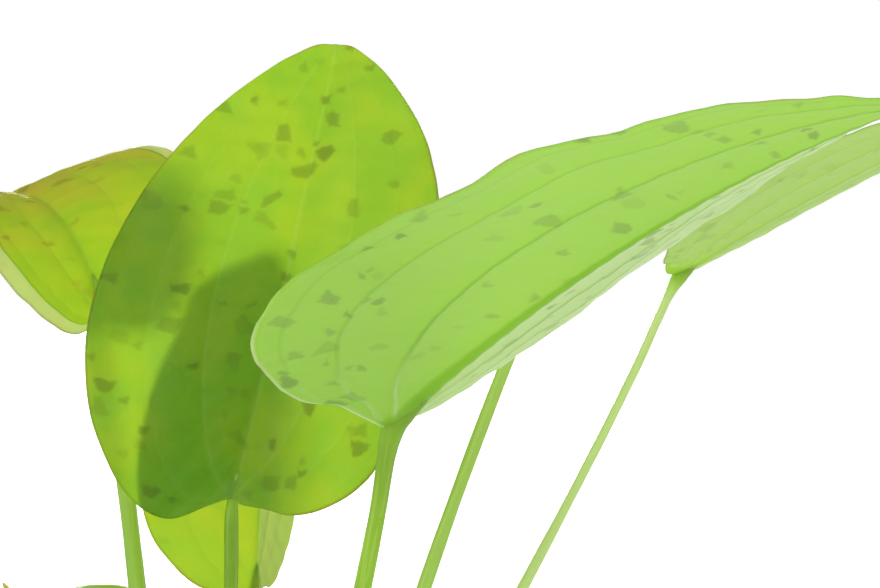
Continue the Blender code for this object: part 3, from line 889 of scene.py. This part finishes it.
def makeOldSheaths(material):  # short torn feet of leaves that have gone
    own = oldSheaths
    draw = np.random.default_rng(own["seed"])
    low, high = (np.array(corner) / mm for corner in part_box("crown"))
    radius, top = (high[0] - low[0]) / 2, high[2]
    made = []
    for number in range(own["count"]):
        piece = addSlab(f"old_sheath_{number}", *own["steps"])
        grid = placesOf(piece.data)
        t, across, side = (grid[:, 0] + 1) / 2, -grid[:, 1], grid[:, 2]
        turn = own["turn"] * number + draw.uniform(*own["turns"])
        length = own["length"] * draw.uniform(*own["lengths"])
        narrowing, power = own["taper"]
        width = own["width"] * draw.uniform(*own["widths"]) * (1 - narrowing * t**power)
        ragged = 1 - own["torn"] * np.abs(np.sin(across * own["tears"] + number)) * t
        lean = draw.uniform(*own["leans"]) * length * t ** own["leanPower"]
        out = radius * own["inset"] + own["gap"] + lean + side * own["halfThickness"]
        bend = across * width / radius / 2
        z = top - own["drop"] + draw.uniform(*own["drops"]) + length * t * ragged
        places = np.stack([out * np.cos(turn + bend), out * np.sin(turn + bend), z], -1)
        putPlaces(piece.data, places * mm)
        closePiece(piece, material)
        made.append(piece)
    return joinPieces(made, "crown_sheaths")


crownTints = dict(
    rootstock=dict(
        dark=(0.20, 0.13, 0.06), light=(0.42, 0.34, 0.17), pale=(0.60, 0.55, 0.34), grainScale=180,
    ),
    oldSheath=dict(
        dark=(0.25, 0.16, 0.08), light=(0.52, 0.42, 0.24), pale=(0.72, 0.66, 0.44), grainScale=260,
    ),
)


woodMarks = dict(
    detail=4.0, cloudEdge=(0.35, 0.65), cloudHeight=0.6, cloudRough=0.25, roughness=0.55,
    rings=(1, 1, 6), ringScale=2, ringDetail=3.0, ringEdge=(0.55, 0.7), ringShare=0.6,
    spotScale=5, spotEdge=(0.1, 0.3), spotShare=0.4, spotHeight=0.3, bump=(0.5, 0.0006),
)


def woodFinish(name, dark, light, pale, grainScale):
    f, m = Finish(name), woodMarks
    place = f.node("ShaderNodeTexCoord", output=3)
    cloud = f.noise(place, grainScale, m["detail"])
    rings = f.noise(f.stretched(place, m["rings"]), grainScale * m["ringScale"], m["ringDetail"])
    spots = f.cells(place, grainScale * m["spotScale"])
    skin = f.paint(
        dark, (f.step(cloud, *m["cloudEdge"]), light), (f.step(rings, *m["ringEdge"]) * m["ringShare"], pale),
        ((1 - f.step(spots, *m["spotEdge"])) * m["spotShare"], dark),
    )
    height = rings + cloud * m["cloudHeight"] - spots * m["spotHeight"]
    rough = m["roughness"] + cloud * m["cloudRough"]
    return f.done(f.skin(Base_Color=skin, Roughness=rough, Normal=f.bump(height, *m["bump"])))


# Roots: a master root and a master rootlet, bent for each copy.

roots = dict(
    seed=5, main=165, steps=(12, 5), thick=(0.6, 0.95), taper=0.62, smooth=4, glance=0.02,
    aside=(0.13, 0.21, 0.97),
    matHeights=(0, 3, 9, 18, 26, 31.5, 35.2, 44),
    matRadii=(33.8, 34.9, 33, 28.6, 21.6, 15.0, 10.5, 9.0),
    points=9, reach=(0.2, 0.99), reachPower=0.6, starts=(36.5, 42.0), startRadius=7.5, spread=1.5,
    lyingShare=0.6, lying=(0.8, 3.0), hanging=(3, 15), drop=1.15, swirl=0.9, wobble=0.12,
    runOn=3, runTurn=(0.12, 0.3), runDrift=(0.97, 1.04), runLimit=33.5, runRise=(-0.2, 0.8),
)
rootlets = dict(
    count=430, steps=(6, 4), thick=0.3, thicks=(0.6, 1.1), flat=(1, 1, 0.6), points=4,
    turn=0.7, step=(1.6, 3.0), heights=(0.5, 40),
)


def matRadius(z):  # outer radius of the root mat at each height
    return np.interp(z, roots["matHeights"], roots["matRadii"])


def rootMaster(name, along, around):  # one closed straight root, bent for each copy
    piece = addGrid(name, along, around)
    grid = placesOf(piece.data)
    t, turn = (grid[:, 0] + 1) / 2, pi * (grid[:, 1] + 1)
    ring = np.where((t < 1e-6) | (t > 1 - 1e-6), 0.0, 1.0)
    putPlaces(piece.data, np.stack([ring * np.cos(turn), ring * np.sin(turn), t], -1))
    closePiece(piece, gap=1e-4)
    return piece


def bentRoot(master, name, path, thick, tone):
    mesh = master.data.copy()
    grid = placesOf(mesh)
    t = grid[:, 2]
    places, forward = wayAlong(t, *curveThrough(path, roots["smooth"]), roots["glance"])
    side = np.cross(forward, roots["aside"])
    side /= np.maximum(np.linalg.norm(side, axis=1), 1e-6)[:, None]
    other = np.cross(forward, side)
    radius = thick * (1 - roots["taper"] * t)
    around = (side * grid[:, :1] + other * grid[:, 1:2]) * radius[:, None]
    putPlaces(mesh, (places + around) * mm)
    writeVector(mesh, "rootShare", (t, np.full_like(t, tone), np.full_like(t, thick)))
    piece = bpy.data.objects.new(name, mesh)
    bpy.context.scene.collection.objects.link(piece)
    return piece


def mainRootPath(draw):
    turn, reach = draw.uniform(0, 2 * pi), draw.uniform(*roots["reach"]) ** roots["reachPower"]
    lies = draw.random() < roots["lyingShare"]
    floor = draw.uniform(*roots["lying" if lies else "hanging"])
    start, swirl = draw.uniform(*roots["starts"]), draw.normal(0, roots["swirl"])
    points = []
    for t in np.linspace(0, 1, roots["points"]):
        z = start + (floor - start) * t ** roots["drop"]
        out = roots["startRadius"]
        out += (matRadius(z) * reach - out) * eased(t * roots["spread"])
        angle = turn + swirl * t**2 + roots["wobble"] * np.sin(7 * t + turn * 5)
        points.append((out * cos(angle), out * sin(angle), z))
    if lies:  # runs on round the bottom of the mat
        for _ in range(roots["runOn"]):
            angle += np.sign(swirl) * draw.uniform(*roots["runTurn"])
            out = min(out * draw.uniform(*roots["runDrift"]), roots["runLimit"])
            z = floor + draw.uniform(*roots["runRise"])
            points.append((out * cos(angle), out * sin(angle), z))
    return points


def makeRoots(material):
    draw = np.random.default_rng(roots["seed"])
    master = rootMaster("root_master", *roots["steps"])
    made, starts = [], []
    for number in range(roots["main"]):
        path = mainRootPath(draw)
        thick = draw.uniform(*roots["thick"])
        made.append(bentRoot(master, f"root_{number}", path, thick, draw.random()))
        starts += path[2:]
    bpy.data.objects.remove(master)
    thickRoots = joinPieces(made, "roots_main")
    fineMaster = rootMaster("rootlet_master", *rootlets["steps"])
    made = []
    for number in range(rootlets["count"]):
        here = np.array(starts[draw.integers(len(starts))])
        way = draw.normal(0, 1, 3) * rootlets["flat"]
        points = [here]
        for _ in range(rootlets["points"]):
            way = way + draw.normal(0, rootlets["turn"], 3)
            here = here + way / np.linalg.norm(way) * draw.uniform(*rootlets["step"])
            here[2] = np.clip(here[2], *rootlets["heights"])
            here[:2] *= min(1, matRadius(here[2]) / max(np.hypot(here[0], here[1]), 1e-3))
            points.append(here)
        thick = rootlets["thick"] * draw.uniform(*rootlets["thicks"])
        made.append(bentRoot(fineMaster, f"rootlet_{number}", points, thick, draw.random()))
    bpy.data.objects.remove(fineMaster)
    fineRoots = joinPieces(made, "roots_fine")
    for piece in (thickRoots, fineRoots):
        piece.data.materials.clear()
        piece.data.materials.append(material)
    return thickRoots, fineRoots


rootTint = dict(
    old=(0.36, 0.24, 0.12), live=(0.72, 0.62, 0.42), tip=(0.86, 0.83, 0.70), roughness=0.5,
    cloud=(260, 3.0), cloudShare=0.5, age=(0.1, 0.75), tipFrom=(0.7, 1.0), tipShare=0.7,
    grain=(1500, 3.0), grainEdge=(0.5, 0.75), grainShare=0.35, grainRough=0.3, bump=(0.4, 0.0003),
    softness=0.15, softRadius=(0.9, 0.6, 0.35),
)


def rootFinish(tint):
    f = Finish("root_skin")
    place = f.node("ShaderNodeTexCoord", output=3)
    t, tone, _ = f.split(f.attribute("rootShare"))
    cloud, grain = f.noise(place, *tint["cloud"]), f.noise(place, *tint["grain"])
    age = f.step(tone + (cloud - 0.5) * tint["cloudShare"], *tint["age"])
    skin = f.paint(
        tint["old"], (age, tint["live"]), (f.step(t, *tint["tipFrom"]) * tint["tipShare"], tint["tip"]),
        (f.step(grain, *tint["grainEdge"]) * tint["grainShare"], tint["old"]),
    )
    face = f.skin(
        Base_Color=skin, Roughness=tint["roughness"] + (grain - 0.5) * tint["grainRough"],
        Normal=f.bump(grain + cloud * 0.5, *tint["bump"]), Subsurface_Weight=tint["softness"],
        Subsurface_Radius=tint["softRadius"], Subsurface_Scale=mm,
    )
    return f.done(face)


# Floor.

ground = dict(size=40, dull=(0.93, 0.93, 0.93), clear=(0.96, 0.96, 0.96), cloud=(3.0, 3.0), roughness=0.7)


def makeFloor():
    bpy.ops.object.select_all(action="DESELECT")
    bpy.ops.mesh.primitive_plane_add(size=ground["size"])
    floor = bpy.context.object
    floor.name = "floor"
    f = Finish("pale_floor")
    place = f.node("ShaderNodeTexCoord", output=3)
    tone = f.blend(f.noise(place, *ground["cloud"]), ground["dull"], ground["clear"])
    floor.data.materials.append(f.done(f.skin(Base_Color=tone, Roughness=ground["roughness"])))


# Everything is made and handed over here.

setCamera()
setLight()
makeFloor()
print("camera, light and floor are set")

stems = stalkFinish("stalk_skin", stalkTint)
for number, (name, own) in enumerate(leaves.items()):
    leaf, seed = {**plainLeaf, **own}, 1.7 * number + 0.6
    piece = makeBlade(name, leaf, seed, leafFinish(name, {**plainTint, **tints.get(name, {})}))
    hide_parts("blade_" + name)
    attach(piece, "root")
    stem = makeStalk(name, leaf, seed, stems)
    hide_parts("stalk_" + name)
    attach(stem, "root")
    print("leaf", name, "made:", len(piece.data.polygons), "faces")

core = makeCrown(woodFinish("rootstock", **crownTints["rootstock"]))
sheaths = makeOldSheaths(woodFinish("old_sheath", **crownTints["oldSheath"]))
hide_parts("crown")
for piece in (core, sheaths):
    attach(piece, "root")
print("crown made")

thickRoots, fineRoots = makeRoots(rootFinish(rootTint))
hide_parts("root_mat")
for piece in (thickRoots, fineRoots):
    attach(piece, "root")
print("roots made:", len(thickRoots.data.polygons) + len(fineRoots.data.polygons), "faces")
